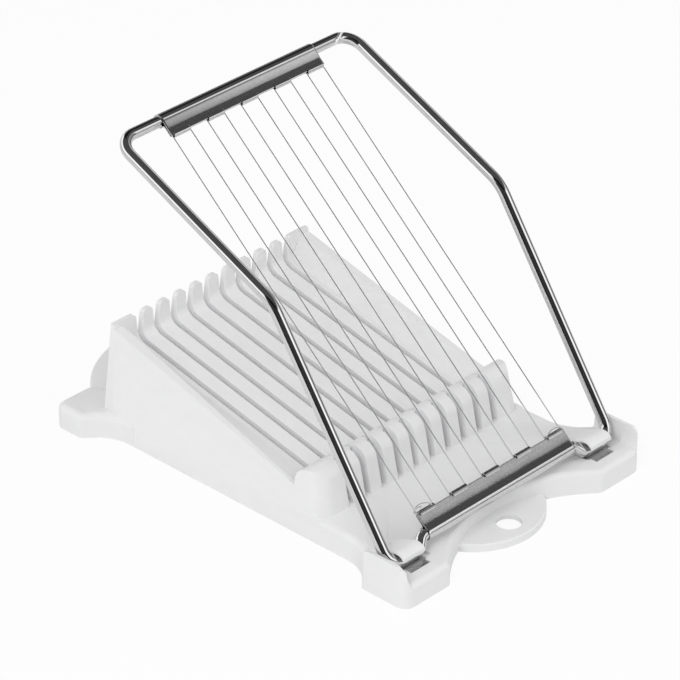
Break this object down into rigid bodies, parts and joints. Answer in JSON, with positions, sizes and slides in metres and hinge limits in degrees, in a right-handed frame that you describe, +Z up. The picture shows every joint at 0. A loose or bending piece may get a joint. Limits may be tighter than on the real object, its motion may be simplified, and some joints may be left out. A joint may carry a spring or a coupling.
{
  "type": "luncheon meat slicer",
  "caption": "Tabletop slicer: a slotted white plastic cradle for a block of luncheon meat, with a hinged steel rod frame that holds parallel cutting wires.",
  "frame": {"origin": "middle of the whole slicer's box, on the table that it stands on", "axes": "+X to the right across the slicer, +Y from the hinge end to the tall comb end, +Z up"},
  "size_m": [0.117, 0.1872, 0.1224],
  "materials": {
    "white_plastic": "satin, lightly textured",
    "rod_steel": "polished stainless rod",
    "sheet_steel": "brushed stainless sheet",
    "wire_steel": "drawn stainless wire",
    "screw_steel": "plain"
  },
  "bodies": {
    "base_unit": {"base": "white_plastic", "keeper_plate_left": "sheet_steel", "keeper_plate_right": "sheet_steel", "keeper_screw_left": "screw_steel", "keeper_screw_right": "screw_steel"},
    "wire_frame": {"frame_rod": "rod_steel", "lower_clamp": "sheet_steel", "top_clamp": "sheet_steel", "wire_01": "wire_steel", "wire_02": "wire_steel", "wire_03": "wire_steel", "wire_04": "wire_steel", "wire_05": "wire_steel", "wire_06": "wire_steel", "wire_07": "wire_steel", "wire_08": "wire_steel", "wire_09": "wire_steel", "wire_10": "wire_steel"}
  },
  "joints": [
    {"name": "frame_hinge", "type": "hinge", "parent": "base_unit", "child": "wire_frame", "pos_m": [0, -0.08255, 0.0102], "axis": [1, 0, 0], "range_deg": [-43.2, 40]}
  ]
}
